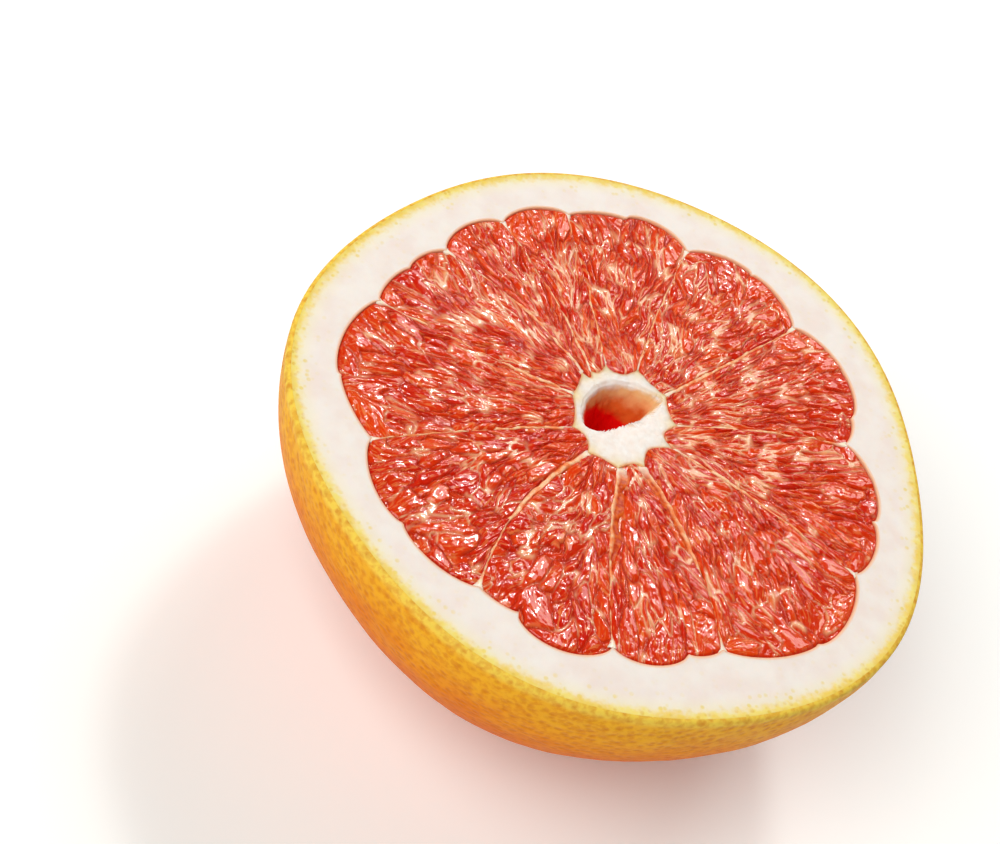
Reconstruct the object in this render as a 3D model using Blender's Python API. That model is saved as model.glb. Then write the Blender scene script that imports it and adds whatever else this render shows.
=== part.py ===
"""Half a grapefruit, cut across its segments, resting on its round end with the cut face up.

Skin, pith, segment walls, juice sacs and core grew together, so the half is one closed body.
Units are metres, +Z is up, and the origin is the middle of the flat spot that the half rests on.
On the cut face, angles are in degrees, anticlockwise from +X as seen from above.
"""

import math
import random

import bmesh
import bpy
import numpy as np

NAME = "grapefruit_half"
MM = 0.001

# Driving dimensions
RIM_RADIUS = 54.85 * MM
DOME_DEPTH = 51.5 * MM
DOME_POWER = 2.05
FLAT_RADIUS = 9.6 * MM
RIM_ROUNDING = 0.8 * MM
SKIN_THICKNESS = 1.3 * MM

# Slow swells of the rim: (swells per turn, height, angle of the first peak)
RIM_SWELLS = (
    (2, 0.18 * MM, -76.0),
    (3, 0.98 * MM, -37.0),
    (4, 0.25 * MM, -10.0),
    (5, 0.64 * MM, -17.0),
)

# Segment walls: (angle and radius at the core, angle at the pith, sideways bow), radius and bow in mm
WALLS = (
    (0.0, 9.2, -8.1, -0.3),
    (31.7, 9.7, 27.9, 0.3),
    (66.3, 11.1, 62.4, -0.8),
    (97.7, 12.7, 93.3, 0.0),
    (124.7, 12.2, 122.7, -0.5),
    (141.0, 11.3, 139.4, -1.5),
    (149.0, 11.5, 157.3, -0.8),
    (176.0, 9.9, 181.0, 1.2),
    (218.1, 9.5, 218.2, -0.4),
    (249.9, 9.8, 257.3, -1.7),
    (283.1, 9.5, 286.6, -0.4),
    (312.9, 8.9, 310.9, 1.9),
)

# Outer edge of the flesh: (angle and radius of a notch, bulge of the lobe that follows it), in mm
LOBES = (
    (-8.1, 43.9, 1.8),
    (7.5, 44.2, 2.4),
    (27.9, 39.8, 0.9),
    (35.8, 42.7, 3.5),
    (62.4, 42.8, 1.7),
    (78.0, 46.4, 1.9),
    (93.3, 42.8, 2.6),
    (108.6, 45.8, 0.9),
    (122.7, 44.4, 2.3),
    (139.4, 43.4, 2.5),
    (157.3, 42.1, 1.2),
    (168.3, 43.6, 1.0),
    (181.0, 44.2, 1.9),
    (203.0, 47.2, 0.5),
    (218.2, 43.5, 2.0),
    (238.2, 45.2, 1.6),
    (257.3, 43.5, 0.5),
    (266.5, 43.5, 3.4),
    (286.6, 42.6, 2.4),
    (302.8, 42.6, 0.8),
    (310.9, 42.4, 1.3),
    (331.6, 47.2, 2.0),
)

FLESH_RADIUS = sum(row[1] + row[2] / 2 for row in LOBES) / len(LOBES) * MM

# Core: a star of pith whose tips run out along the walls, with an open slit in it
CORE_BAY = 1.9 * MM
SLIT_MIDDLE = (-2.1 * MM, 3.7 * MM)
SLIT_HALF_LENGTH = 8.5 * MM
SLIT_HALF_WIDTH = 3.6 * MM
SLIT_ANGLE = 52.4
SLIT_DEPTH = 14.0 * MM
SLIT_FLOOR_SHARE = 0.5

# Heights on the cut face, measured down from the flat pith
WALL_DROP = 0.1 * MM
CORE_DROP = 0.5 * MM
SLIT_LIP_DROP = 1.0 * MM
CREASE_DROP = 1.8 * MM
SAC_TOP_DROPS = (0.2 * MM, 0.75 * MM)
EDGE_EASE = 0.8 * MM
WALL_HALF_WIDTH = 0.5 * MM
GROOVE_DROP = 0.7 * MM
GROOVE_REACH = 2.6 * MM

# Juice sacs, drawn larger than life
SAC_HALF_LENGTHS = (4.2 * MM, 6.2 * MM)
SAC_HALF_WIDTHS = (1.9 * MM, 2.6 * MM)
SAC_ROWS = 6
SAC_SPACING = 3.7 * MM
SAC_EDGE_GAP = 3.2 * MM
SAC_FAN = 62.0
SAC_TAPER = 0.45
SAC_SIDE_JITTER = 0.2
SAC_REACH_JITTER = 1.0 * MM
SAC_TURN_JITTER = 9.0
SAC_SEED = 7

# Rings of the mesh from the slit's floor over the face and down the dome, and the final face count
AROUND = 384
RINGS_FLOOR = 3
RINGS_SLIT = 8
RINGS_FACE = 62
RINGS_ROUNDING = 3
RINGS_DOME = 30
RINGS_FLAT = 4
TRIANGLES = 11600

HEIGHT = DOME_DEPTH * (1 - (FLAT_RADIUS / RIM_RADIUS) ** DOME_POWER) ** (1 / DOME_POWER)

# Colour and roughness of each region
FINISHES = {
    "skin": ((0.80, 0.36, 0.05), 0.45),
    "pith": ((0.93, 0.84, 0.74), 0.70),
    "pulp": ((0.68, 0.08, 0.03), 0.25),
}


def mix(a, b, share):
    """Goes from a to b as share goes from 0 to 1."""
    return a + (b - a) * share


def ease(value):
    """Rises smoothly from 0 to 1 while value does."""
    clipped = np.clip(value, 0.0, 1.0)
    return clipped * clipped * (3 - 2 * clipped)


def between(angle, rows):
    """For each angle, finds the row before it, the row after it and the share of the way between them.

    Rows start with their angle in degrees, in rising order round one turn.
    """
    starts = np.array([row[0] for row in rows])
    turned = (np.degrees(angle) - starts[0]) % 360 + starts[0]
    before = np.searchsorted(starts, turned, side="right") - 1
    after = (before + 1) % len(rows)
    span = (starts[after] - starts[before]) % 360
    return before, after, (turned - starts[before]) / span


def rim_radius(angle):
    """Radius of the cut rim."""
    radius = np.full_like(angle, RIM_RADIUS)
    for count, height, peak in RIM_SWELLS:
        radius += height * np.cos(count * (angle - math.radians(peak)))
    return radius


def flesh_radius(angle):
    """Radius where the flesh meets the pith ring, with a notch at each wall."""
    before, after, share = between(angle, LOBES)
    radius = np.array([row[1] for row in LOBES]) * MM
    bulge = np.array([row[2] for row in LOBES]) * MM
    return mix(radius[before], radius[after], share) + bulge[before] * np.sqrt(np.sin(math.pi * share))


def core_radius(angle):
    """Radius of the star of pith at the middle, with a tip at each wall."""
    before, after, share = between(angle, WALLS)
    radius = np.array([row[1] for row in WALLS]) * MM
    return mix(radius[before], radius[after], share) - CORE_BAY * np.sin(math.pi * share)


def wall_angle(wall, radius):
    """Angle of a wall at each distance from the middle."""
    inner_angle, inner_radius, outer_angle, bow = wall
    outer_radius = flesh_radius(np.array([math.radians(outer_angle)]))[0]
    share = np.clip((radius - inner_radius * MM) / (outer_radius - inner_radius * MM), 0.0, 1.0)
    sideways = bow * MM * 4 * share * (1 - share) / np.maximum(radius, inner_radius * MM)
    return np.radians(mix(inner_angle, outer_angle, share)) + sideways


def slit_point(angle, scale=1.0):
    """Point of the slit's outline, which is an ellipse lying across the core."""
    tilt = math.radians(SLIT_ANGLE)
    along = SLIT_HALF_LENGTH * scale * np.cos(angle - tilt)
    across = SLIT_HALF_WIDTH * scale * np.sin(angle - tilt)
    x = SLIT_MIDDLE[0] + along * math.cos(tilt) - across * math.sin(tilt)
    y = SLIT_MIDDLE[1] + along * math.sin(tilt) + across * math.cos(tilt)
    return x, y


def wall_distance(x, y):
    """Distance along the circle from each point to the nearest segment wall."""
    angle = np.arctan2(y, x)
    radius = np.hypot(x, y)
    nearest = np.full_like(radius, np.inf)
    for wall in WALLS:
        turn = np.angle(np.exp(1j * (angle - wall_angle(wall, radius))))
        nearest = np.minimum(nearest, np.abs(turn) * radius)
    return nearest


def juice_sacs():
    """Middles, directions and sizes of the sacs: rows across each segment, fanned out from its midline."""
    draw = random.Random(SAC_SEED)
    sacs = []
    for index, wall in enumerate(WALLS):
        following = WALLS[(index + 1) % len(WALLS)]
        for row in range(SAC_ROWS):
            inner = wall[1] * MM + SAC_EDGE_GAP / 2
            radius = mix(inner, FLESH_RADIUS - SAC_EDGE_GAP, row / (SAC_ROWS - 1))
            start = float(wall_angle(wall, radius))
            width = (float(wall_angle(following, radius)) - start) % (2 * math.pi)
            count = max(1, round(width * radius / SAC_SPACING))
            for place in range(count):
                share = (place + 0.5 + draw.uniform(-SAC_SIDE_JITTER, SAC_SIDE_JITTER)) / count
                angle = start + width * share
                reach = radius * flesh_radius(np.array([angle]))[0] / FLESH_RADIUS
                reach += draw.uniform(-SAC_REACH_JITTER, SAC_REACH_JITTER)
                turn = SAC_FAN * (share - 0.5) + draw.uniform(-SAC_TURN_JITTER, SAC_TURN_JITTER)
                heading = angle + math.radians(turn)
                middle = (reach * math.cos(angle), reach * math.sin(angle))
                size = (draw.uniform(*SAC_HALF_LENGTHS), draw.uniform(*SAC_HALF_WIDTHS))
                sacs.append((middle, heading, size, draw.uniform(*SAC_TOP_DROPS)))
    return sacs


def pulp_drop(x, y):
    """Depth of the flesh below the pith: every point takes the highest sac that covers it."""
    drop = np.full_like(x, CREASE_DROP)
    for middle, heading, (half_length, half_width), top in juice_sacs():
        east = x - middle[0]
        north = y - middle[1]
        along = (east * math.cos(heading) + north * math.sin(heading)) / half_length
        across = (north * math.cos(heading) - east * math.sin(heading)) / half_width
        across = across / (1 + SAC_TAPER * np.clip(along, -1.0, 1.0))
        round_off = np.sqrt(np.clip(1 - along ** 2 - across ** 2, 0.0, 1.0))
        drop = np.minimum(drop, mix(CREASE_DROP, top, round_off))
    return drop


def face_drop(x, y):
    """Depth of the cut face below the flat pith ring."""
    angle = np.arctan2(y, x)
    radius = np.hypot(x, y)
    core_edge = core_radius(angle)
    from_wall = wall_distance(x, y) - WALL_HALF_WIDTH
    drop = pulp_drop(x, y) + GROOVE_DROP * (1 - ease(from_wall / GROOVE_REACH))
    drop = mix(WALL_DROP, drop, ease(from_wall / EDGE_EASE))
    drop = mix(CORE_DROP, drop, ease((radius - core_edge) / EDGE_EASE))
    drop = drop * ease((flesh_radius(angle) - radius) / EDGE_EASE)
    slit_x, slit_y = slit_point(angle)
    to_slit = np.hypot(x - slit_x, y - slit_y) / CORE_BAY
    return np.where(radius < core_edge, mix(SLIT_LIP_DROP, drop, ease(to_slit)), drop)


def slit_ring(angle, step):
    """Point of the slit's wall and floor: step 0 is its floor's middle, 1 is its lip."""
    floor_share = RINGS_FLOOR / (RINGS_FLOOR + RINGS_SLIT)
    if step < floor_share:
        x, y = slit_point(angle, SLIT_FLOOR_SHARE * step / floor_share)
        return x, y, np.full_like(angle, HEIGHT - SLIT_DEPTH)
    rise = (step - floor_share) / (1 - floor_share)
    x, y = slit_point(angle, mix(SLIT_FLOOR_SHARE, 1.0, math.sqrt(rise)))
    return x, y, np.full_like(angle, HEIGHT - mix(SLIT_DEPTH, SLIT_LIP_DROP, rise))


def face_ring(angle, step):
    """Point of the cut face, from the slit's lip to the start of the rounded rim."""
    inner_x, inner_y = slit_point(angle)
    outer = rim_radius(angle) - RIM_ROUNDING
    x = mix(inner_x, outer * np.cos(angle), step)
    y = mix(inner_y, outer * np.sin(angle), step)
    return x, y, HEIGHT - face_drop(x, y)


def outside_ring(angle, turn):
    """Point of the skin: turn is 0 at the rim and a quarter turn at the blossom end."""
    radius = rim_radius(angle) * max(math.cos(turn), 0.0) ** (2 / DOME_POWER)
    depth = DOME_DEPTH * math.sin(turn) ** (2 / DOME_POWER)
    return radius * np.cos(angle), radius * np.sin(angle), np.full_like(angle, HEIGHT - depth)


def rounding_ring(angle, step):
    """Point of the rounded edge between the cut face and the skin."""
    quarter = math.pi / 2 * step
    radius = rim_radius(angle) - RIM_ROUNDING * (1 - math.sin(quarter))
    depth = RIM_ROUNDING * (1 - math.cos(quarter))
    return radius * np.cos(angle), radius * np.sin(angle), np.full_like(angle, HEIGHT - depth)


def flat_ring(angle, step):
    """Point of the flat spot underneath, from its edge to its middle."""
    x, y, z = outside_ring(angle, flat_turn())
    return x * (1 - step), y * (1 - step), np.zeros_like(z)


def flat_turn():
    """Turn down the dome at which the flat spot begins."""
    return math.acos((FLAT_RADIUS / RIM_RADIUS) ** (DOME_POWER / 2))


def rounding_turn():
    """Turn down the dome at which the rounded edge ends."""
    return math.asin((RIM_ROUNDING / DOME_DEPTH) ** (DOME_POWER / 2))


def body_ring(ring, angle):
    """Points of one ring of the body, counted from the slit's floor to the middle of the flat spot."""
    slit_rings = RINGS_FLOOR + RINGS_SLIT
    if ring <= slit_rings:
        return slit_ring(angle, ring / slit_rings)
    ring -= slit_rings
    if ring <= RINGS_FACE:
        return face_ring(angle, ring / RINGS_FACE)
    ring -= RINGS_FACE
    if ring <= RINGS_ROUNDING:
        return rounding_ring(angle, ring / RINGS_ROUNDING)
    ring -= RINGS_ROUNDING
    if ring <= RINGS_DOME:
        return outside_ring(angle, mix(rounding_turn(), flat_turn(), ring / RINGS_DOME))
    return flat_ring(angle, (ring - RINGS_DOME) / RINGS_FLAT)


def shape_body(mesh):
    """Makes a ball of rings and moves each ring to its place on the half fruit."""
    rings = RINGS_FLOOR + RINGS_SLIT + RINGS_FACE + RINGS_ROUNDING + RINGS_DOME + RINGS_FLAT
    ball = bmesh.new()
    bmesh.ops.create_uvsphere(ball, u_segments=AROUND, v_segments=rings, radius=1.0)
    ball.to_mesh(mesh)
    ball.free()
    points = np.empty(len(mesh.vertices) * 3, dtype=np.float32)
    mesh.vertices.foreach_get("co", points)
    points = points.reshape(-1, 3).astype(float)
    ring_of = np.rint(np.arccos(np.clip(points[:, 2], -1.0, 1.0)) / math.pi * rings).astype(int)
    angle_of = np.arctan2(points[:, 1], points[:, 0])
    for ring in range(rings + 1):
        chosen = ring_of == ring
        points[chosen] = np.column_stack(body_ring(ring, angle_of[chosen]))
    mesh.vertices.foreach_set("co", points.ravel())
    mesh.update()


def region_of(middle, normal):
    """Names the region that a face belongs to."""
    x = np.array([middle.x])
    y = np.array([middle.y])
    radius = math.hypot(middle.x, middle.y)
    angle = np.arctan2(y, x)
    if radius > rim_radius(angle)[0] - SKIN_THICKNESS or normal.z < 0:
        return "skin"
    if radius > flesh_radius(angle)[0] or radius < core_radius(angle)[0]:
        return "pith"
    return "pulp"


def make_material(region):
    """Plain material of one region."""
    colour, roughness = FINISHES[region]
    material = bpy.data.materials.new(f"{NAME}_{region}")
    material.use_nodes = True
    shader = material.node_tree.nodes["Principled BSDF"]
    shader.inputs["Base Color"].default_value = (*colour, 1.0)
    shader.inputs["Roughness"].default_value = roughness
    shader.inputs["Metallic"].default_value = 0.0
    return material


def thin_out(part):
    """Leaves many faces where the sacs are and few on the smooth dome."""
    part.data.calc_loop_triangles()
    thinning = part.modifiers.new("thin_out", "DECIMATE")
    thinning.ratio = TRIANGLES / len(part.data.loop_triangles)
    evaluated = part.evaluated_get(bpy.context.evaluated_depsgraph_get())
    thinned = bpy.data.meshes.new_from_object(evaluated)
    part.modifiers.clear()
    part.data = thinned


def build():
    """Builds the half fruit in its own collection."""
    for old in list(bpy.data.objects):
        bpy.data.objects.remove(old, do_unlink=True)
    collection = bpy.data.collections.new(NAME)
    bpy.context.scene.collection.children.link(collection)
    mesh = bpy.data.meshes.new(NAME)
    part = bpy.data.objects.new(NAME, mesh)
    collection.objects.link(part)
    shape_body(mesh)
    thin_out(part)
    for region in FINISHES:
        part.data.materials.append(make_material(region))
    for face in part.data.polygons:
        face.material_index = list(FINISHES).index(region_of(face.center, face.normal))
    part.data.shade_smooth()


build()
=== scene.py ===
import math

import bpy
import numpy as np
from mathutils import Matrix, Vector


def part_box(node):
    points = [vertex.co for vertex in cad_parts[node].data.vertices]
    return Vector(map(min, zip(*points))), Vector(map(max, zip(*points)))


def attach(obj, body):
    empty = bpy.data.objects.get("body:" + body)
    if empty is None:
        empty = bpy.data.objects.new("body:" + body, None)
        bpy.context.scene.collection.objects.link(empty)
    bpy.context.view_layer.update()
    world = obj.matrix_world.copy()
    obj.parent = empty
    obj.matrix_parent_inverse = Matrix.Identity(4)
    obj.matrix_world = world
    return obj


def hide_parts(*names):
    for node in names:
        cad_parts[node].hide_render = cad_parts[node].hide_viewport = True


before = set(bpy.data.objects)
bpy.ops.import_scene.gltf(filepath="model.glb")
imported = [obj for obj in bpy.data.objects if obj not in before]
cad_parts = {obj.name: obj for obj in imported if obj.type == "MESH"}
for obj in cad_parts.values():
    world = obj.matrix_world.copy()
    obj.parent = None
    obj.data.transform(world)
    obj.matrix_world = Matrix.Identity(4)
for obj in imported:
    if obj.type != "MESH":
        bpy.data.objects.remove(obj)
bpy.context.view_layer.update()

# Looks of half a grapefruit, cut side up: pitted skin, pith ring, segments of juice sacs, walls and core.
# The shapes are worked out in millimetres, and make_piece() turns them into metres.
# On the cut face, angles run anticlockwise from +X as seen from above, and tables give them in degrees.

NODE = "grapefruit_half"
MM = 0.001
SEED = 11

# Main dimensions, the same as the solid's
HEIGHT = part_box(NODE)[1].z / MM
RIM_RADIUS = 54.85
DOME_DEPTH = 51.5
DOME_POWER = 2.05
FLAT_RADIUS = 9.6
RIM_ROUNDING = 0.8

# Slow swells of the rim: (swells per turn, height, angle of the first peak)
RIM_SWELLS = (
    (2, 0.18, -76.0),
    (3, 0.98, -37.0),
    (4, 0.25, -10.0),
    (5, 0.64, -17.0),
)

# Segment walls: (angle and radius at the core, angle at the pith, sideways bow)
WALLS = (
    (0.0, 9.2, -8.1, -0.3),
    (31.7, 9.7, 27.9, 0.3),
    (66.3, 11.1, 62.4, -0.8),
    (97.7, 12.7, 93.3, 0.0),
    (124.7, 12.2, 122.7, -0.5),
    (141.0, 11.3, 139.4, -1.5),
    (149.0, 11.5, 157.3, -0.8),
    (176.0, 9.9, 181.0, 1.2),
    (218.1, 9.5, 218.2, -0.4),
    (249.9, 9.8, 257.3, -1.7),
    (283.1, 9.5, 286.6, -0.4),
    (312.9, 8.9, 310.9, 1.9),
)

# Outer edge of the flesh: (angle and radius of a notch, bulge of the lobe that follows it)
LOBES = (
    (-8.1, 43.9, 1.8),
    (7.5, 44.2, 2.4),
    (27.9, 39.8, 0.9),
    (35.8, 42.7, 3.5),
    (62.4, 42.8, 1.7),
    (78.0, 46.4, 1.9),
    (93.3, 42.8, 2.6),
    (108.6, 45.8, 0.9),
    (122.7, 44.4, 2.3),
    (139.4, 43.4, 2.5),
    (157.3, 42.1, 1.2),
    (168.3, 43.6, 1.0),
    (181.0, 44.2, 1.9),
    (203.0, 47.2, 0.5),
    (218.2, 43.5, 2.0),
    (238.2, 45.2, 1.6),
    (257.3, 43.5, 0.5),
    (266.5, 43.5, 3.4),
    (286.6, 42.6, 2.4),
    (302.8, 42.6, 0.8),
    (310.9, 42.4, 1.3),
    (331.6, 47.2, 2.0),
)

# Skin: its shallow swells, and the scar in the flat spot
SKIN_SWELL = 0.10
SKIN_SWELL_WIDTH = 5.5
SCAR_RADIUS = 1.6
SCAR_EDGE = 0.8
SCAR_DEPTH = 0.35

# Pith ring: how far it lies below the rim, its grain, and the lip that dips beside the flesh
PITH_DROP = 0.06
PITH_GRAIN = 0.05
PITH_LIP_GAP = 0.12
PITH_LIP_TUCK = 0.25
PITH_LIP_DEPTH = 1.9

# Core: a star of pith whose tips run out along the walls, with an open slit in it
CORE_DROP = 0.35
CORE_FLUFF = 0.12
CORE_LIP_DROP = 0.5
CORE_SKIRT_DEPTH = 1.6
CORE_TIP_REACH = 1.9
SLIT_MIDDLE = (-2.1, 3.7)
SLIT_HALF_LENGTH = 8.1
SLIT_HALF_WIDTH = 4.2
SLIT_BEND = 1.6
SLIT_SHARPNESS = 0.55
SLIT_ANGLE = 52.4
SLIT_DEPTH = 14.0
SLIT_FLOOR_SHARE = 0.4
SLIT_CRAGS = 0.25
SLIT_FRAY = 0.4

# How far each segment's flesh runs in between two of the star's tips, and how pointed that makes them
CORE_BAYS = (2.6, 1.4, 1.2, 2.2, 1.2, 1.5, 0.9, 1.4, 1.9, 1.0, 1.5, 3.2)
CORE_BAY_POWER = 0.55

# How finely each segment's flesh is divided, from 0 for big sacs to 1 for thin strands
FINENESS = (0.75, 0.7, 0.6, 0.6, 0.9, 1.0, 0.9, 0.5, 0.3, 0.2, 0.45, 0.35)

# Segment walls on the cut: (half width of the pale crest, widths of the amber band before and after it)
WALL_SIDES = (
    (0.24, 0.10, 0.10),
    (0.20, 0.10, 0.10),
    (0.34, 0.10, 0.10),
    (0.16, 0.10, 0.20),
    (0.16, 0.10, 0.10),
    (0.18, 0.10, 0.10),
    (0.25, 0.10, 0.10),
    (0.25, 0.10, 0.10),
    (0.18, 0.10, 0.10),
    (0.30, 0.50, 0.50),
    (0.22, 0.10, 2.00),
    (0.22, 1.20, 0.10),
)

# Length of the amber bands, and of the fade that ends them
AMBER_LENGTH = 12.0
AMBER_FADE = 12.0

# Walls: the crest's drop below the rim, its drop at the pith, how far the sides and the inner end go down,
# and how far the walls run on under the core and the pith
WALL_DROP = 0.18
WALL_END_DROP = 0.08
WALL_SIDE_DEPTH = 0.8
WALL_SAG = 0.30
WALL_DIVE = 0.6
WALL_OVERLAPS = (1.0, 0.6)

# Juice sacs: rows from core to pith, half widths at the core and at the pith, and how they are packed
SAC_ROWS = 7
SAC_ROWS_END = 0.86
SAC_HALF_WIDTHS = (0.62, 1.45)
SAC_LENGTHS = (2.4, 4.4)
SAC_SPACING = 2.3
SAC_CURL = 0.8
SAC_FLOW_WIDTH = 8.0
EDGE_DROP_SPACING = 5.5
EDGE_DROP_LEVEL = 0.88
EDGE_DROPS_LYING_ALONG = 0.3

# Wander of the borders between sacs, and ripples on the sacs: (reach or height, width)
BORDER_WANDER = ((0.7, 4.5), (0.14, 1.1))
COARSE_RIPPLE = (0.13, 0.9)
FINE_RIPPLE = (0.04, 0.45)

# Flesh: its drop below the rim, how far it runs on under the core and the pith and sinks there,
# the most that sacs rise or dip, and the parts of their shape
PULP_DROP = 0.22
PULP_OVERLAPS = (0.2, 0.6)
PULP_EDGE_SINK = 0.6
RELIEF_LIMIT = 0.5
SAC_LIFT = 0.18
SAC_LEAN = 0.16
SAC_NOD = 0.07
SAC_DOME = (0.15, 0.42)
WIDEST_DOME = 1.2
LONGEST_NOD = 4.0
FOLD_HEIGHT = 0.26
CRINKLE_HEIGHT = 0.07
BORDER_WIDTH = 0.10
CREASE_DEPTH = 0.18
SKIN_RIDGE = 0.16

# Camera: the photograph's view of the cut face, in its 1000 by 844 pixels
PHOTO_SIZE = (1000, 844)
FOCAL_PIXELS = 2000
FACE_MIDDLE_PIXEL = (624.7, 422.6)
CAMERA_ELEVATION = 49.2
CAMERA_ROLL = 27.3
CAMERA_DISTANCE = 0.325
SENSOR_MM = 36.0

# Colour of all the light, and how much light the floor gives off itself, which keeps its shadows pale
WARM_WHITE = (1.0, 0.985, 0.955, 1.0)
FLOOR_GLOW = 0.12
FLOOR_SIZE = 6.0

# Soft lamps, turned to the fruit: (name, place and size in metres, watts)
LAMPS = (
    ("back_box", (0.08, 0.67, 0.80), (0.54, 0.35), 3.3),
    ("sparkle_box", (-0.02, 0.62, 0.84), (0.12, 0.10), 1.8),
    ("front_box", (-0.50, -0.60, 1.10), (0.90, 0.90), 13.5),
)
LAMP_TARGET = (0, 0, 0.04)

# Surroundings: the z parts of a direction between which they dim, and their strengths below and above
SKY_FADE = (0.10, 0.45, 0.75, 0.07)

# Grids: points round or across, and points along
SKIN_GRID = (480, 110)
PITH_GRID = (720, 30)
PULP_GRID = (150, 190)
WALL_GRID = (11, 170)
CORE_GRID = (360, 84)


def mix(a, b, share):
    """Goes from a to b as share goes from 0 to 1."""
    return a + (b - a) * share


def ease(value):
    """Rises smoothly from 0 to 1 while value does."""
    clipped = np.clip(value, 0.0, 1.0)
    return clipped * clipped * (3 - 2 * clipped)


def ridge(distance, width):
    """Falls smoothly from 1 to 0 on both sides of a line, within about the width."""
    return np.exp(-(distance / width) ** 2)


class Hills:
    """Smooth seeded noise over a plane, from -1 to 1, with hills about one unit apart."""

    SIDE = 256

    def __init__(self, seed):
        self.table = np.random.default_rng(seed).uniform(-1, 1, (self.SIDE, self.SIDE))

    def __call__(self, x, y):
        column = np.floor(x).astype(int)
        row = np.floor(y).astype(int)
        across = ease(x - column)
        along = ease(y - row)
        near = mix(self.corner(column, row), self.corner(column + 1, row), across)
        far = mix(self.corner(column, row + 1), self.corner(column + 1, row + 1), across)
        return mix(near, far, along)

    def corner(self, column, row):
        return self.table[row % self.SIDE, column % self.SIDE]

    def rough(self, x, y, octaves=3):
        """Adds ever finer, ever lower hills."""
        total = 0.0
        for octave in range(octaves):
            scale = 2.03 ** octave
            total = total + self(x * scale + 17.3 * octave, y * scale - 9.1 * octave) / scale
        return total


def between(angle, rows):
    """For each angle, finds the row before it, the row after it and the share of the way between them.

    Rows start with their angle in degrees, in rising order round one turn.
    """
    starts = np.array([row[0] for row in rows])
    turned = (np.degrees(angle) - starts[0]) % 360 + starts[0]
    before = np.searchsorted(starts, turned, side="right") - 1
    after = (before + 1) % len(rows)
    span = (starts[after] - starts[before]) % 360
    return before, after, (turned - starts[before]) / span


def rim_radius(angle):
    """Radius of the cut rim."""
    swells = [height * np.cos(count * (angle - math.radians(peak))) for count, height, peak in RIM_SWELLS]
    return RIM_RADIUS + sum(swells)


def flesh_radius(angle):
    """Radius where the flesh meets the pith ring, with a notch at each wall."""
    before, after, share = between(angle, LOBES)
    radius = np.array([row[1] for row in LOBES])
    bulge = np.array([row[2] for row in LOBES])
    return mix(radius[before], radius[after], share) + bulge[before] * np.sqrt(np.sin(math.pi * share))


def core_radius(angle):
    """Radius of the star of pith at the middle, with a tip at each wall."""
    before, after, share = between(angle, WALLS)
    radius = np.array([row[1] for row in WALLS])
    bay = np.array(CORE_BAYS)[before]
    return mix(radius[before], radius[after], share) - bay * np.sin(math.pi * share) ** CORE_BAY_POWER


def wall_end_radius(wall):
    """Radius at which a wall reaches the pith ring."""
    return float(flesh_radius(np.array([math.radians(wall[2])]))[0])


def wall_angle(wall, radius):
    """Angle of a wall at each distance from the middle."""
    inner_angle, inner_radius, outer_angle, bow = wall
    share = np.clip((radius - inner_radius) / (wall_end_radius(wall) - inner_radius), 0.0, 1.0)
    sideways = bow * 4 * share * (1 - share) / np.maximum(radius, inner_radius)
    return np.radians(mix(inner_angle, outer_angle, share)) + sideways


def wall_reach(index, radius, before):
    """How far a wall's top reaches from its middle line, with its pale crest and its amber band."""
    crest, amber_before, amber_after = WALL_SIDES[index]
    from_core = radius - WALLS[index][1]
    amber = np.where(before, amber_before, amber_after)
    return crest + amber * (1 - ease((from_core - AMBER_LENGTH) / AMBER_FADE))


def segment_span(index, radius):
    """Angle at which a segment starts and its width as an angle, at each distance from the middle."""
    start = wall_angle(WALLS[index], radius)
    end = wall_angle(WALLS[(index + 1) % len(WALLS)], radius)
    return start, (end - start) % (2 * math.pi)


def segment_point(index, share, level):
    """Angle and radius of the points at a share of the way across a segment and up from core to pith.

    Each depends on the other, so both start from rough radii and are worked out again a few times.
    """
    under_core, under_pith = PULP_OVERLAPS
    radius = mix(10.0, 45.0, level)
    for _ in range(4):
        start, width = segment_span(index, radius)
        angle = start + width * share
        radius = mix(core_radius(angle) - under_core, flesh_radius(angle) + under_pith, level)
    return angle, radius


def slit_point(direction):
    """Point of the slit's outline in a direction from its middle: a bent leaf, sharp at one end."""
    tilt = math.radians(SLIT_ANGLE)
    aim = direction - tilt
    turn = np.arctan2(SLIT_HALF_LENGTH * np.sin(aim), SLIT_HALF_WIDTH * np.cos(aim))
    sharp = 1 - SLIT_SHARPNESS * np.maximum(np.cos(turn), 0) ** 2
    along = SLIT_HALF_LENGTH * np.cos(turn)
    across = SLIT_HALF_WIDTH * np.sin(turn) * sharp - SLIT_BEND * np.cos(turn) ** 2
    x = SLIT_MIDDLE[0] + along * math.cos(tilt) - across * math.sin(tilt)
    y = SLIT_MIDDLE[1] + along * math.sin(tilt) + across * math.cos(tilt)
    return x, y


def flat_turn():
    """Turn down the dome at which the flat spot begins."""
    return math.acos((FLAT_RADIUS / RIM_RADIUS) ** (DOME_POWER / 2))


def rounding_turn():
    """Turn down the dome at which the rounded edge ends."""
    return math.asin((RIM_ROUNDING / DOME_DEPTH) ** (DOME_POWER / 2))


def grid(columns, rows, closed):
    """Shares across and along of every point of a grid, and the corner numbers of its faces."""
    across = np.arange(columns) / (columns if closed else columns - 1)
    along = np.arange(rows) / (rows - 1)
    index = np.arange(columns * rows).reshape(rows, columns)
    if closed:
        index = np.column_stack([index, index[:, 0]])
    faces = np.stack([index[:-1, :-1], index[:-1, 1:], index[1:, 1:], index[1:, :-1]], -1).reshape(-1, 4)
    u, v = np.meshgrid(across, along)
    return u.ravel(), v.ravel(), faces


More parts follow.
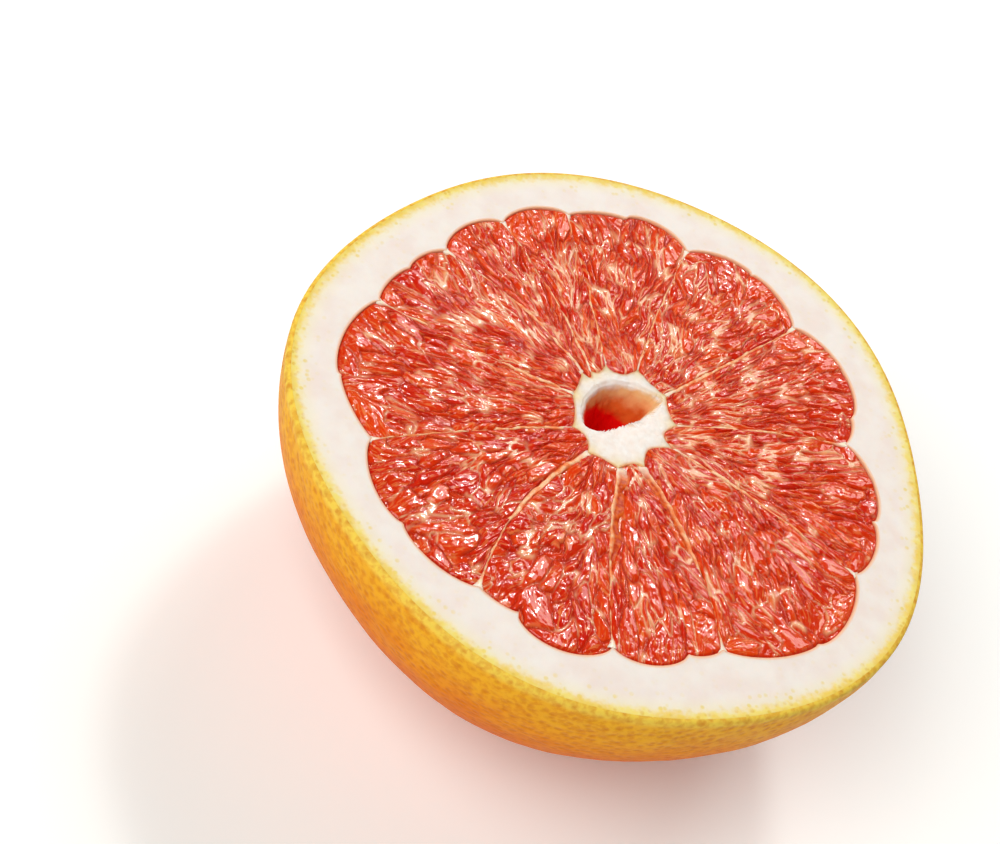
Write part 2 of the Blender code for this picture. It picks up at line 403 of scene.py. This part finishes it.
def make_piece(name, points, faces, marks, material):
    """Makes a piece from points in millimetres, with its marks as attributes for the material."""
    mesh = bpy.data.meshes.new(name)
    mesh.from_pydata((np.column_stack(points) * MM).tolist(), [], faces.tolist())
    for mark, values in marks.items():
        kind, field = ("FLOAT", "value") if values.ndim == 1 else ("FLOAT_VECTOR", "vector")
        layer = mesh.attributes.new(mark, kind, "POINT")
        layer.data.foreach_set(field, values.astype(np.float32).ravel())
    mesh.shade_smooth()
    mesh.materials.append(material)
    piece = bpy.data.objects.new(name, mesh)
    bpy.context.scene.collection.objects.link(piece)
    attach(piece, "root")
    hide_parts(NODE)
    return piece


class Nodes:
    """Short calls for building a material's nodes."""

    def __init__(self, name):
        self.material = bpy.data.materials.new(name)
        self.material.use_nodes = True
        self.tree = self.material.node_tree
        self.shader = self.tree.nodes["Principled BSDF"]
        self.place = self.add("ShaderNodeTexCoord").outputs["Object"]

    def add(self, kind, **settings):
        node = self.tree.nodes.new(kind)
        for setting, value in settings.items():
            setattr(node, setting, value)
        return node

    def put(self, value, socket):
        """Links an output to a socket, or sets a plain value on it."""
        if isinstance(value, bpy.types.NodeSocket):
            self.tree.links.new(value, socket)
        else:
            socket.default_value = value

    def shade(self, **values):
        """Sets the shader's sockets, named with underscores for spaces."""
        for name, value in values.items():
            self.put(value, self.shader.inputs[name.replace("_", " ")])

    def mark(self, name, output="Fac"):
        """A value or vector that the mesh carries at each point."""
        return self.add("ShaderNodeAttribute", attribute_name=name).outputs[output]

    def noise(self, size_mm, detail=3.0, roughness=0.5, where=None):
        """Noise whose spots are about size_mm across."""
        node = self.add("ShaderNodeTexNoise")
        self.put(where or self.place, node.inputs["Vector"])
        node.inputs["Scale"].default_value = 1 / (size_mm * MM)
        node.inputs["Detail"].default_value = detail
        node.inputs["Roughness"].default_value = roughness
        return node.outputs["Fac"]

    def cells(self, size_mm):
        """Distance to the nearest of scattered points about size_mm apart."""
        node = self.add("ShaderNodeTexVoronoi")
        self.put(self.place, node.inputs["Vector"])
        node.inputs["Scale"].default_value = 1 / (size_mm * MM)
        return node.outputs["Distance"]

    def scaled(self, where, factors):
        """Multiplies each axis of a place, so that noise read there is stretched."""
        node = self.add("ShaderNodeMapping")
        self.put(where, node.inputs["Vector"])
        node.inputs["Scale"].default_value = factors
        return node.outputs["Vector"]

    def math(self, operation, *values):
        node = self.add("ShaderNodeMath", operation=operation)
        for value, socket in zip(values, node.inputs):
            self.put(value, socket)
        return node.outputs[0]

    def ramp(self, value, low, high, start=0.0, end=1.0):
        """Goes smoothly from start to end while value goes from low to high."""
        node = self.add("ShaderNodeMapRange", interpolation_type="SMOOTHSTEP")
        for socket, entry in zip(node.inputs, (value, low, high, start, end)):
            self.put(entry, socket)
        return node.outputs[0]

    def blend(self, share, first, second):
        """Mixes two colours."""
        node = self.add("ShaderNodeMix", data_type="RGBA")
        self.put(share, node.inputs["Factor"])
        colours = [socket for socket in node.inputs if socket.type == "RGBA"]
        self.put(first, colours[0])
        self.put(second, colours[1])
        return next(socket for socket in node.outputs if socket.type == "RGBA")

    def bump(self, height, strength, distance_mm):
        node = self.add("ShaderNodeBump")
        node.inputs["Strength"].default_value = strength
        node.inputs["Distance"].default_value = distance_mm * MM
        self.put(height, node.inputs["Height"])
        return node.outputs["Normal"]


def linear(part):
    """Turns one part of a colour as seen, from 0 to 255, into its linear share of light."""
    if part < 11:
        return part / 255 / 12.92
    return ((part / 255 + 0.055) / 1.055) ** 2.4


def colour(red, green, blue):
    """Colour as seen, from 0 to 255, in the linear form that the shader takes."""
    return (linear(red), linear(green), linear(blue), 1.0)


def skin_material():
    """Waxy orange-yellow skin with darker oil pits, paler towards the cut, a darker, redder orange towards
    the floor as painted shade, and browner in the scar.
    """
    n = Nodes("citrus_skin")
    pits = n.ramp(n.cells(1.4), 0.0, 0.7)
    mottle = n.ramp(n.noise(1.3, 3.0, 0.6), 0.42, 0.64)
    patch = n.ramp(n.noise(9.0), 0.35, 0.65)
    up = n.mark("height")
    base = n.blend(patch, colour(242, 156, 4), colour(234, 132, 0))
    base = n.blend(n.ramp(up, 0.70, 0.97, 0.0, 0.7), base, colour(244, 188, 44))
    # Painted shade: a darker, redder orange over the lower half of the dome, near the floor
    base = n.blend(n.ramp(up, 0.85, 0.45), base, colour(228, 108, 0))
    base = n.blend(n.ramp(up, 0.955, 0.995), base, colour(244, 208, 82))
    base = n.blend(n.math("MULTIPLY", mottle, 0.36), base, colour(210, 96, 2))
    base = n.blend(n.ramp(pits, 1.0, 0.0, 0.0, 0.34), base, colour(196, 78, 2))
    base = n.blend(n.ramp(n.mark("scar"), 0.2, 0.8), base, colour(120, 92, 52))
    relief = n.math("MULTIPLY_ADD", n.noise(2.2), 0.7, pits)
    n.shade(
        Base_Color=base,
        Roughness=0.5,
        IOR=1.38,
        Specular_IOR_Level=0.06,
        Subsurface_Weight=0.12,
        Subsurface_Radius=(1.0, 0.4, 0.1),
        Subsurface_Scale=0.0015,
        Coat_Weight=0.04,
        Coat_Roughness=0.25,
        Normal=n.bump(relief, 0.6, 0.2),
    )
    return n.material


def pith_material():
    """Spongy cream-white pith with a ragged yellow cut edge of skin and yellow specks near it."""
    n = Nodes("pith")
    from_rim = n.mark("from_rim")
    ragged = n.math("MULTIPLY_ADD", n.math("SUBTRACT", n.noise(1.3, 2.0), 0.5), 2.2, from_rim)
    base = n.blend(n.ramp(n.noise(5.0, 4.0), 0.35, 0.7), colour(240, 232, 225), colour(237, 223, 215))
    base = n.blend(n.ramp(from_rim, 5.0, 1.4, 0.0, 0.6), base, colour(241, 231, 186))
    specks = n.math("MULTIPLY", n.ramp(n.cells(1.5), 0.34, 0.14), n.ramp(n.noise(5.0, 2.0), 0.40, 0.54))
    near_rim = n.ramp(from_rim, 5.5, 2.0, 0.10, 0.8)
    base = n.blend(n.math("MULTIPLY", specks, near_rim), base, colour(232, 208, 100))
    edge = n.blend(n.ramp(n.noise(3.5, 2.0), 0.4, 0.6), colour(242, 220, 112), colour(240, 206, 84))
    edge = n.blend(n.ramp(n.cells(1.1), 0.4, 0.15), edge, colour(232, 196, 68))
    base = n.blend(n.ramp(ragged, 2.8, 0.9), base, edge)
    base = n.blend(n.ramp(n.mark("flesh_edge"), 0.0, 1.0, 0.0, 0.8), base, colour(248, 172, 118))
    relief = n.math("MULTIPLY_ADD", n.noise(0.35), 0.5, n.noise(1.4))
    n.shade(
        Base_Color=base,
        Roughness=0.62,
        Subsurface_Weight=0.35,
        Subsurface_Radius=(1.0, 0.75, 0.55),
        Subsurface_Scale=0.0018,
        Normal=n.bump(relief, 0.35, 0.12),
    )
    return n.material


def pulp_material():
    """Wet juice sacs: deep orange-red, with fine strands and the pale lines of their skins, and painted
    shade: dark red in the creases between sacs and along the flesh's edge under the pith.
    """
    n = Nodes("juice_sacs")
    strands = n.noise(0.42, 3.0, 0.6, where=n.scaled(n.mark("strand", "Vector"), (0.2, 1.0, 1.0)))
    base = n.blend(n.mark("tone"), colour(202, 20, 0), colour(230, 70, 4))
    base = n.blend(n.ramp(n.noise(1.6), 0.35, 0.7, 0.0, 0.4), base, colour(218, 44, 0))
    fine = n.math("MULTIPLY", n.ramp(strands, 0.50, 0.62), n.mark("rough"))
    base = n.blend(n.math("MULTIPLY", fine, 0.65), base, colour(244, 150, 84))
    # Painted shade: dark red where the sacs' borders are sunken creases and along the flesh's sunken edge
    # under the pith; the coat is also thinner there
    base = n.blend(n.math("MULTIPLY", n.mark("painted_crease_shade"), 0.7), base, colour(172, 14, 0))
    base = n.blend(n.mark("line"), base, colour(255, 208, 158))
    ripples = n.math("ADD", n.noise(0.7, 2.0), strands)
    n.shade(
        Base_Color=base,
        Roughness=0.3,
        IOR=1.36,
        Specular_IOR_Level=0.1,
        Subsurface_Weight=0.25,
        Subsurface_Radius=(1.0, 0.28, 0.12),
        Subsurface_Scale=0.0014,
        Coat_Weight=n.ramp(n.mark("painted_crease_shade"), 0.1, 0.8, 1.0, 0.2),
        Coat_Roughness=0.04,
        Coat_IOR=1.45,
        Normal=n.bump(ripples, 0.55, 0.18),
    )
    return n.material


def wall_material():
    """Moist pale segment walls, amber down their sides."""
    n = Nodes("segment_walls")
    base = n.blend(n.ramp(n.noise(1.2), 0.35, 0.65), colour(255, 206, 160), colour(246, 138, 78))
    base = n.blend(n.mark("pale"), base, colour(249, 234, 214))
    amber = n.blend(n.ramp(n.noise(0.9), 0.35, 0.65), colour(190, 52, 2), colour(226, 104, 30))
    base = n.blend(n.mark("amber"), base, amber)
    n.shade(
        Base_Color=base,
        Roughness=0.5,
        Specular_IOR_Level=0.15,
        Subsurface_Weight=0.3,
        Subsurface_Radius=(1.0, 0.5, 0.25),
        Subsurface_Scale=0.0008,
        Coat_Weight=0.15,
        Coat_Roughness=0.15,
        Normal=n.bump(n.noise(0.4), 0.4, 0.1),
    )
    return n.material


def core_material():
    """Fluffy white pith of the core: tan down the slit, then orange, and deep red at its low end."""
    n = Nodes("core_pith")
    low_end = n.mark("low_end")
    wavy = n.math("MULTIPLY_ADD", n.math("SUBTRACT", n.noise(2.5), 0.5), 0.25, n.mark("depth"))
    tan_depth = n.math("MULTIPLY_ADD", low_end, -0.08, wavy)
    red_depth = n.math("MULTIPLY_ADD", low_end, 0.5, wavy)
    base = n.blend(n.ramp(n.noise(1.2, 4.0), 0.3, 0.7), colour(253, 243, 237), colour(248, 233, 224))
    base = n.blend(n.ramp(tan_depth, 0.0, 0.11), base, colour(250, 200, 140))
    base = n.blend(n.ramp(wavy, 0.14, 0.36), base, colour(222, 106, 38))
    base = n.blend(n.ramp(red_depth, 0.56, 0.68), base, colour(240, 2, 0))
    base = n.blend(n.mark("tip"), base, colour(255, 222, 164))
    base = n.blend(n.mark("border"), base, colour(246, 168, 100))
    relief = n.math("MULTIPLY_ADD", n.noise(0.3, 4.0), 0.5, n.noise(0.9, 4.0))
    n.shade(
        Base_Color=base,
        Roughness=0.7,
        Specular_IOR_Level=0.2,
        Subsurface_Weight=0.6,
        Subsurface_Radius=(1.0, 0.92, 0.85),
        Subsurface_Scale=0.0025,
        Normal=n.bump(relief, 0.5, 0.15),
    )
    return n.material


def skin_piece():
    """Skin: round the cut edge, down the dome and across the flat spot, with its scar."""
    u, v, faces = grid(*SKIN_GRID, closed=True)
    rounding_end = 0.03
    dome_end = 0.93
    angle = 2 * math.pi * u
    quarter = math.pi / 2 * np.clip(v / rounding_end, 0, 1)
    turn = mix(rounding_turn(), flat_turn(), np.clip((v - rounding_end) / (dome_end - rounding_end), 0, 1))
    shrink = np.clip((1 - v) / (1 - dome_end), 0, 1)
    rim = rim_radius(angle)
    edge_radius = rim - RIM_ROUNDING * (1 - np.sin(quarter))
    edge_depth = RIM_ROUNDING * (1 - np.cos(quarter))
    dome_radius = rim * np.cos(turn) ** (2 / DOME_POWER)
    dome_depth = DOME_DEPTH * np.sin(turn) ** (2 / DOME_POWER)
    on_edge = v <= rounding_end
    radius = np.where(on_edge, edge_radius, dome_radius) * shrink
    z = HEIGHT - np.where(on_edge, edge_depth, dome_depth)
    x = radius * np.cos(angle)
    y = radius * np.sin(angle)

    hills = Hills(SEED)
    swell = SKIN_SWELL * hills.rough(x / SKIN_SWELL_WIDTH + z / 7.0, y / SKIN_SWELL_WIDTH - z / 6.0)
    swell = swell * ease((HEIGHT - z) / 3.0) * ease(z / 2.0)
    outward = np.maximum(radius, 1e-6)
    x = x + swell * x / outward
    y = y + swell * y / outward

    on_flat = v >= dome_end
    scar = 1 - ease((radius - SCAR_RADIUS) / SCAR_EDGE)
    z = np.where(on_flat, SCAR_DEPTH * scar, np.maximum(z, 0.0))
    marks = {"height": z / HEIGHT, "scar": scar * on_flat}
    return make_piece("skin", (x, y, z), faces[:, ::-1], marks, skin_material())


def pith_piece():
    """Pith ring on the cut face, from below the flesh's edge out to the skin."""
    u, v, faces = grid(*PITH_GRID, closed=True)
    lip_end = 0.16
    angle = 2 * math.pi * u
    flesh = flesh_radius(angle)
    rim = rim_radius(angle)
    outer = rim - RIM_ROUNDING
    down = 1 - np.clip(v / lip_end, 0, 1)
    across = np.clip((v - lip_end) / (1 - lip_end), 0, 1)
    radius = mix(flesh + PITH_LIP_GAP, outer, across) - PITH_LIP_TUCK * np.sqrt(down)
    x = radius * np.cos(angle)
    y = radius * np.sin(angle)

    hills = Hills(SEED + 1)
    grain = PITH_GRAIN * (hills.rough(x / 1.6, y / 1.6) + hills(x / 6.0, y / 6.0))
    flat = ease((outer - radius) / 1.0) * ease(across / 0.05)
    z = HEIGHT + (grain - PITH_DROP) * flat - PITH_LIP_DEPTH * down ** 1.6
    marks = {"from_rim": rim - radius, "flesh_edge": 1 - ease((radius - flesh) / 0.7)}
    return make_piece("pith_ring", (x, y, z), faces[:, ::-1], marks, pith_material())


def packed_sacs(index, draw):
    """Places, half widths, half lengths, extra turns and smoothness of the sacs inside one segment."""
    fineness = FINENESS[index]
    rows = []
    for row in range(SAC_ROWS):
        level = SAC_ROWS_END * (row + 0.5) / SAC_ROWS
        size = mix(*SAC_HALF_WIDTHS, level) * (1.25 - 0.6 * fineness)
        angle, radius = segment_point(index, np.array([0.5]), level)
        width = float((segment_span(index, radius)[1] * radius)[0])
        for share_of_width, share_of_sacs in ((1.0, 1.0), (0.4, 0.35)):
            count = max(1, round(share_of_sacs * width / (SAC_SPACING * size)))
            for place in range(count):
                share = (place + 0.5 + draw.uniform(-0.45, 0.45)) / count
                half_width = size * share_of_width * draw.uniform(0.7, 1.3)
                half_length = size * draw.uniform(*SAC_LENGTHS) * (0.7 + 1.1 * fineness)
                turn = draw.normal(0, 0.2 - 0.14 * fineness)
                smooth = draw.uniform(0, 0.8) * (1 - 0.5 * fineness)
                sac_level = level + draw.uniform(-0.06, 0.06)
                rows.append((share, sac_level, half_width, half_length, turn, smooth))
    return rows


def edge_drops(index, draw):
    """The same for the big smooth drops along one segment's outer edge, some of which lie along it."""
    first = WALLS[index][2]
    span = (WALLS[(index + 1) % len(WALLS)][2] - first) % 360
    rows = []
    for place, (notch, reach, _) in enumerate(LOBES):
        start = (notch - first) % 360
        if start >= span:
            continue
        lobe = (LOBES[(place + 1) % len(LOBES)][0] - notch) % 360
        arc = math.radians(lobe) * reach
        count = max(1, round(arc / EDGE_DROP_SPACING))
        for number in range(count):
            share = (start + lobe * (number + draw.uniform(0.3, 0.7)) / count) / span
            lies_along = draw.uniform() < EDGE_DROPS_LYING_ALONG
            turn = (math.pi / 2 if lies_along else 0.0) + draw.normal(0, 0.3)
            half_width = 1.3 if lies_along else draw.uniform(0.30, 0.46) * arc / count
            half_length = 0.6 * arc / count if lies_along else draw.uniform(3.0, 6.5)
            level = EDGE_DROP_LEVEL + (0.06 if lies_along else draw.uniform(-0.06, 0.04))
            rows.append((share, level, half_width, half_length, turn, draw.uniform(0.2, 0.7)))
    return rows


def laid_sacs(index, draw, hills):
    """Each sac of a segment: its middle, half width, half length, heading and curl, and its smoothness."""
    places = np.array(packed_sacs(index, draw) + edge_drops(index, draw))
    share, level, half_width, half_length, turn, smooth = places.T
    angle, radius = segment_point(index, share, level)
    x = radius * np.cos(angle)
    y = radius * np.sin(angle)
    swirl = 1.0 - 0.85 * FINENESS[index]
    flow = 0.5 * (share - 0.5) + swirl * hills(x / SAC_FLOW_WIDTH + 90, y / SAC_FLOW_WIDTH)
    curl = draw.uniform(-SAC_CURL, SAC_CURL, len(places)) * swirl
    return np.column_stack([x, y, half_width, half_length, angle + flow + turn, curl]), smooth


def nearest_sacs(x, y, sacs):
    """For each point: its sac, how far inside that it is, and where it lies along and across it."""
    best = np.full_like(x, np.inf)
    second = np.full_like(x, np.inf)
    owner = np.zeros(len(x), dtype=int)
    lengthways = np.zeros_like(x)
    sideways = np.zeros_like(x)
    for number, (mid_x, mid_y, half_width, half_length, heading, curl) in enumerate(sacs):
        east = x - mid_x
        north = y - mid_y
        along = (east * math.cos(heading) + north * math.sin(heading)) / half_length
        across = (north * math.cos(heading) - east * math.sin(heading)) / half_width
        across = (across - curl * along ** 2) / (1 - 0.6 * np.minimum(along ** 2, 1.0))
        distance = np.hypot(along, across)
        wins = distance < best
        second = np.where(wins, best, np.minimum(second, distance))
        best = np.where(wins, distance, best)
        owner = np.where(wins, number, owner)
        lengthways = np.where(wins, along, lengthways)
        sideways = np.where(wins, across, sideways)
    inside = (second - best) * sacs[owner, 2] / 2
    return owner, inside, np.clip(lengthways, -1.3, 1.3), np.clip(sideways, -1.3, 1.3)


def sac_body(draw, sacs, owner, along, across):
    """Height of each point through its sac's own lift, lean, nod and dome."""
    count = len(sacs)
    wide = np.minimum(sacs[owner, 2], WIDEST_DOME)
    long = np.minimum(sacs[owner, 3], LONGEST_NOD)
    lift = draw.uniform(-SAC_LIFT, SAC_LIFT, count)[owner]
    lean = draw.normal(0, SAC_LEAN, count)[owner] * wide * across
    nod = draw.normal(0, SAC_NOD, count)[owner] * long * along
    dome = draw.uniform(*SAC_DOME, count)[owner] * wide * (1 - 0.6 * (along ** 2 + across ** 2))
    return lift + lean + nod + dome


def wander(hills, x, y, shift):
    """How far points are moved along one axis, which bends the borders between sacs."""
    return sum(reach * hills(x / width + shift, y / width) for reach, width in BORDER_WANDER)


def edge_distances(index, angle, radius):
    """How far points of a segment are from the pith, the core, the walls' middles and their bands."""
    start, width = segment_span(index, radius)
    from_start = radius * (angle - start)
    from_end = radius * (start + width - angle)
    past_start = from_start - wall_reach(index, radius, before=False)
    past_end = from_end - wall_reach((index + 1) % len(WALLS), radius, before=True)
    from_pith = flesh_radius(angle) - radius
    from_core = radius - core_radius(angle)
    return from_pith, from_core, np.minimum(from_start, from_end), np.minimum(past_start, past_end)


def pulp_piece(index, material):
    """One segment's flesh: packed juice sacs with folds along them, and skins or creases between them."""
    draw = np.random.default_rng(SEED * 100 + index)
    hills = Hills(SEED * 10 + index)
    sacs, smooth = laid_sacs(index, draw, hills)
    u, v, faces = grid(*PULP_GRID, closed=False)
    angle, radius = segment_point(index, u, v)
    x = radius * np.cos(angle)
    y = radius * np.sin(angle)
    moved_x = x + wander(hills, x, y, 0)
    moved_y = y + wander(hills, x, y, 40)
    owner, inside, along, across = nearest_sacs(moved_x, moved_y, sacs)

    # Shape inside each sac: its body, folds along it and finer crinkles
    rough = (1 - 0.8 * smooth)[owner]
    side = sacs[owner, 2] * across
    body = sac_body(draw, sacs, owner, along, across)
    fold = hills(1.7 * side + 7.3 * owner, 2.0 * along + 3.1 * owner)
    crinkle = hills.rough(3.5 * side + 2.7 * owner, 3.5 * along + 5.9 * owner)
    height, width = COARSE_RIPPLE
    ripple = height * hills(x / width + 11, y / width)
    height, width = FINE_RIPPLE
    ripple = ripple + height * hills(x / width, y / width + 11)
    folds = rough * (FOLD_HEIGHT * (0.5 - np.abs(fold)) + CRINKLE_HEIGHT * crinkle)
    relief = RELIEF_LIMIT * np.tanh((body + ripple + folds) / RELIEF_LIMIT) * ease(inside / 0.30)

    # Borders between the sacs: raised pale skins in some places, sunken creases in the others, which the
    # material darkens with painted shade
    skins = ease(0.25 + 0.3 * FINENESS[index] + 1.6 * hills(x / 2.7 + 20, y / 2.7) + 0.4 * (0.5 - v))
    border = ridge(inside, BORDER_WIDTH)
    relief = relief + border * mix(-CREASE_DEPTH, SKIN_RIDGE, skins)
    fold_line = ridge(fold, 0.07) * rough * ease(1.8 * hills(x / 1.9, y / 1.9 + 60))

    # Edges: the flesh flattens towards the walls, the pith and the core, and sinks under them
    from_pith, from_core, from_wall, past_wall = edge_distances(index, angle, radius)
    from_ends = np.minimum(from_pith, from_core)
    under_wall = 1 - ease((past_wall + 0.60) / 0.50)
    under_ends = 1 - ease((from_ends + 0.3) / 0.7)
    full = ease((np.minimum(from_ends, from_wall) + 0.1) / 0.7) * (1 - under_wall)
    z = HEIGHT - PULP_DROP + relief * full - PULP_EDGE_SINK * (under_wall + under_ends)

    # A thin line along the flesh's sunken edge under the pith, which the material darkens with painted
    # shade and keeps free of pale skin lines
    painted_shade_edge_line = ridge(from_pith - 0.12, 0.22)
    marks = {
        "tone": draw.beta(1.0, 1.5, len(sacs))[owner],
        "rough": rough,
        "line": np.clip(border * skins * 0.7 + 0.35 * fold_line, 0, 1) * (1 - painted_shade_edge_line),
        "painted_crease_shade": np.clip(border * (1 - skins) + 0.9 * painted_shade_edge_line, 0, 1),
        "strand": np.column_stack([along * sacs[owner, 3], side, 10.0 * owner]) * MM,
    }
    return make_piece(f"segment_{index + 1:02d}", (x, y, z), faces, marks, material)


def wall_piece(index, material):
    """A thin wall between two segments, from the core's tip to the pith's notch, where it fans out."""
    wall = WALLS[index]
    hills = Hills(SEED * 20 + index)
    u, v, faces = grid(*WALL_GRID, closed=False)
    inner = wall[1] - WALL_OVERLAPS[0]
    outer = wall_end_radius(wall) + WALL_OVERLAPS[1]
    radius = mix(inner, outer, v)
    angle = wall_angle(wall, radius)
    side = 2 * u - 1
    outer_end = 1 - ease((outer - radius) / 3.0)
    inner_end = 1 - ease((radius - inner) / 4.0)
    away_from_ends = (1 - outer_end) * (1 - inner_end)

    reach = wall_reach(index, radius, side < 0) * (1 + 0.4 * hills(radius / 1.9, np.sign(side)))
    reach = reach + 0.7 * outer_end ** 2 + 0.3 * inner_end ** 2
    level = np.zeros_like(radius)
    bends = 0.25 * hills(radius / 3.5, level + 5) + 0.12 * hills(radius / 0.9, level + 9)
    from_crest = side * reach
    offset = from_crest + bends * away_from_ends
    x = radius * np.cos(angle) - offset * np.sin(angle)
    y = radius * np.sin(angle) + offset * np.cos(angle)

    uneven = 0.12 * hills(radius / 1.7, level + 13) + 0.04 * hills(radius / 0.5, side * 2)
    top = mix(HEIGHT - WALL_DROP + uneven, HEIGHT - WALL_END_DROP, outer_end)
    amber = ease((np.abs(from_crest) - WALL_SIDES[index][0]) / 0.15) * away_from_ends
    sag = WALL_SAG * amber * ease((reach - 0.5) / 0.5)
    rounding = 0.10 * side ** 2 + WALL_SIDE_DEPTH * side ** 8
    dive = WALL_DIVE * (1 - ease((radius - inner) / 1.2))
    z = top - rounding - sag - dive
    marks = {"pale": np.clip(outer_end + inner_end, 0, 1), "amber": amber}
    return make_piece(f"wall_{index + 1:02d}", (x, y, z), faces, marks, material)


def core_piece():
    """The core's star of fluffy pith and the slit that runs down into it."""
    u, v, faces = grid(*CORE_GRID, closed=True)
    floor_end, lip_end, face_end = 0.12, 0.5, 0.86
    hills = Hills(SEED + 3)
    tilt = math.radians(SLIT_ANGLE)
    middle_x, middle_y = SLIT_MIDDLE
    in_slit = v <= lip_end
    rise = np.clip((v - floor_end) / (lip_end - floor_end), 0, 1)
    share = np.clip((v - lip_end) / (face_end - lip_end), 0, 1)
    skirt = np.clip((v - face_end) / (1 - face_end), 0, 1)

    # Half a step of turn keeps the points off the star's tips, where its edge would fold back
    angle = 2 * math.pi * (u + 0.5 / CORE_GRID[0])
    edge_x = (core_radius(angle) + 0.1) * np.cos(angle)
    edge_y = (core_radius(angle) + 0.1) * np.sin(angle)
    direction = np.arctan2(edge_y - middle_y, edge_x - middle_x)
    slit_x, slit_y = slit_point(direction)
    scale = np.where(v < floor_end, SLIT_FLOOR_SHARE * v / floor_end, mix(SLIT_FLOOR_SHARE, 1.0, rise))
    x = np.where(in_slit, mix(middle_x, slit_x, scale), mix(slit_x, edge_x, share))
    y = np.where(in_slit, mix(middle_y, slit_y, scale), mix(slit_y, edge_y, share))

    slit_depth = mix(CORE_LIP_DROP, SLIT_DEPTH, (1 - rise) ** 1.4)
    face_depth = CORE_LIP_DROP * (1 - ease(share / 0.25))
    depth = np.where(in_slit, slit_depth, face_depth)
    fluff = CORE_FLUFF * hills.rough(x / 1.1, y / 1.1, 4) * ease(share / 0.1) * (1 - skirt)
    z = HEIGHT - CORE_DROP - depth + fluff - CORE_SKIRT_DEPTH * skirt ** 2

    # Uneven slit walls, and a frayed lip along the slit's side towards +X
    crag = SLIT_CRAGS * hills.rough(angle * 4, z / 2.5) * (1 - rise) * rise * 4
    frayed_side = ease(0.6 - 0.6 * np.sin(direction - tilt))
    fray = SLIT_FRAY * frayed_side * hills.rough(angle * 24, 0 * angle + 7) * ridge(v - lip_end, 0.07)
    outwards = 0.2 * skirt + crag + fray
    x = x + outwards * np.cos(angle)
    y = y + outwards * np.sin(angle)

    along = ((x - middle_x) * math.cos(tilt) + (y - middle_y) * math.sin(tilt)) / SLIT_HALF_LENGTH
    from_edge = (1 - share) * np.hypot(edge_x - slit_x, edge_y - slit_y)
    from_tips = []
    for wall in WALLS:
        turn = math.radians(wall[0])
        from_tips.append(np.hypot(x - wall[1] * math.cos(turn), y - wall[1] * math.sin(turn)))
    marks = {
        "depth": depth / SLIT_DEPTH,
        "low_end": ease(0.5 - 0.5 * along),
        "tip": ridge(np.min(from_tips, axis=0), CORE_TIP_REACH) * (1 - in_slit),
        "border": 0.8 * ridge(from_edge, 0.35) * (1 - in_slit),
    }
    return make_piece("core", (x, y, z), faces, marks, core_material())


def add_camera():
    """Camera at the photograph's angle to the cut face, with the face at its place in the frame."""
    elevation = math.radians(CAMERA_ELEVATION)
    roll = math.radians(CAMERA_ROLL)
    forward = Vector((0, math.cos(elevation), -math.sin(elevation)))
    level_right = Vector((1, 0, 0))
    level_up = level_right.cross(forward)
    right = level_right * math.cos(roll) + level_up * math.sin(roll)
    up = level_up * math.cos(roll) - level_right * math.sin(roll)
    shift_right = (FACE_MIDDLE_PIXEL[0] - PHOTO_SIZE[0] / 2) / FOCAL_PIXELS
    shift_down = (FACE_MIDDLE_PIXEL[1] - PHOTO_SIZE[1] / 2) / FOCAL_PIXELS
    to_face = forward + right * shift_right - up * shift_down
    eye = Vector((0, 0, HEIGHT * MM)) - to_face * CAMERA_DISTANCE
    data = bpy.data.cameras.new("camera")
    data.sensor_fit = "HORIZONTAL"
    data.sensor_width = SENSOR_MM
    data.lens = FOCAL_PIXELS / PHOTO_SIZE[0] * SENSOR_MM
    camera = bpy.data.objects.new("camera", data)
    axes = Matrix((right, up, -forward)).transposed()
    camera.matrix_world = Matrix.Translation(eye) @ axes.to_4x4()
    bpy.context.scene.collection.objects.link(camera)
    bpy.context.scene.camera = camera


def add_lamp(name, place, size, watts):
    """Large soft lamp at a place, turned to the fruit."""
    data = bpy.data.lights.new(name, "AREA")
    data.shape = "RECTANGLE"
    data.size, data.size_y = size
    data.energy = watts
    data.color = WARM_WHITE[:3]
    lamp = bpy.data.objects.new(name, data)
    lamp.location = place
    lamp.rotation_euler = (Vector(LAMP_TARGET) - Vector(place)).to_track_quat("-Z", "Y").to_euler()
    bpy.context.scene.collection.objects.link(lamp)


def add_surroundings():
    """Pale surroundings: bright near the floor, dimmer overhead, so that wet surfaces keep their colour."""
    world = bpy.data.worlds.new("studio")
    bpy.context.scene.world = world
    world.use_nodes = True
    nodes = world.node_tree.nodes
    links = world.node_tree.links
    direction = nodes.new("ShaderNodeTexCoord")
    split = nodes.new("ShaderNodeSeparateXYZ")
    fade = nodes.new("ShaderNodeMapRange")
    fade.interpolation_type = "SMOOTHSTEP"
    for socket, value in zip(list(fade.inputs)[1:5], SKY_FADE):
        socket.default_value = value
    links.new(direction.outputs["Generated"], split.inputs["Vector"])
    links.new(split.outputs["Z"], fade.inputs["Value"])
    links.new(fade.outputs["Result"], nodes["Background"].inputs["Strength"])
    nodes["Background"].inputs["Color"].default_value = WARM_WHITE


def add_floor():
    """Plain pale floor."""
    bpy.ops.mesh.primitive_plane_add(size=FLOOR_SIZE)
    floor = bpy.context.object
    floor.name = "floor"
    n = Nodes("pale_floor")
    paper = n.blend(n.noise(60, 2.0), colour(251, 254, 253), colour(249, 252, 251))
    n.shade(Base_Color=paper, Roughness=0.55, Emission_Color=paper, Emission_Strength=FLOOR_GLOW)
    floor.data.materials.append(n.material)


def main():
    skin_piece()
    pith_piece()
    juice = pulp_material()
    for index in range(len(WALLS)):
        pulp_piece(index, juice)
    moist = wall_material()
    for index in range(len(WALLS)):
        wall_piece(index, moist)
    core_piece()
    add_camera()
    add_floor()
    add_surroundings()
    for lamp in LAMPS:
        add_lamp(*lamp)
    bpy.context.scene.view_settings.view_transform = "Standard"


main()
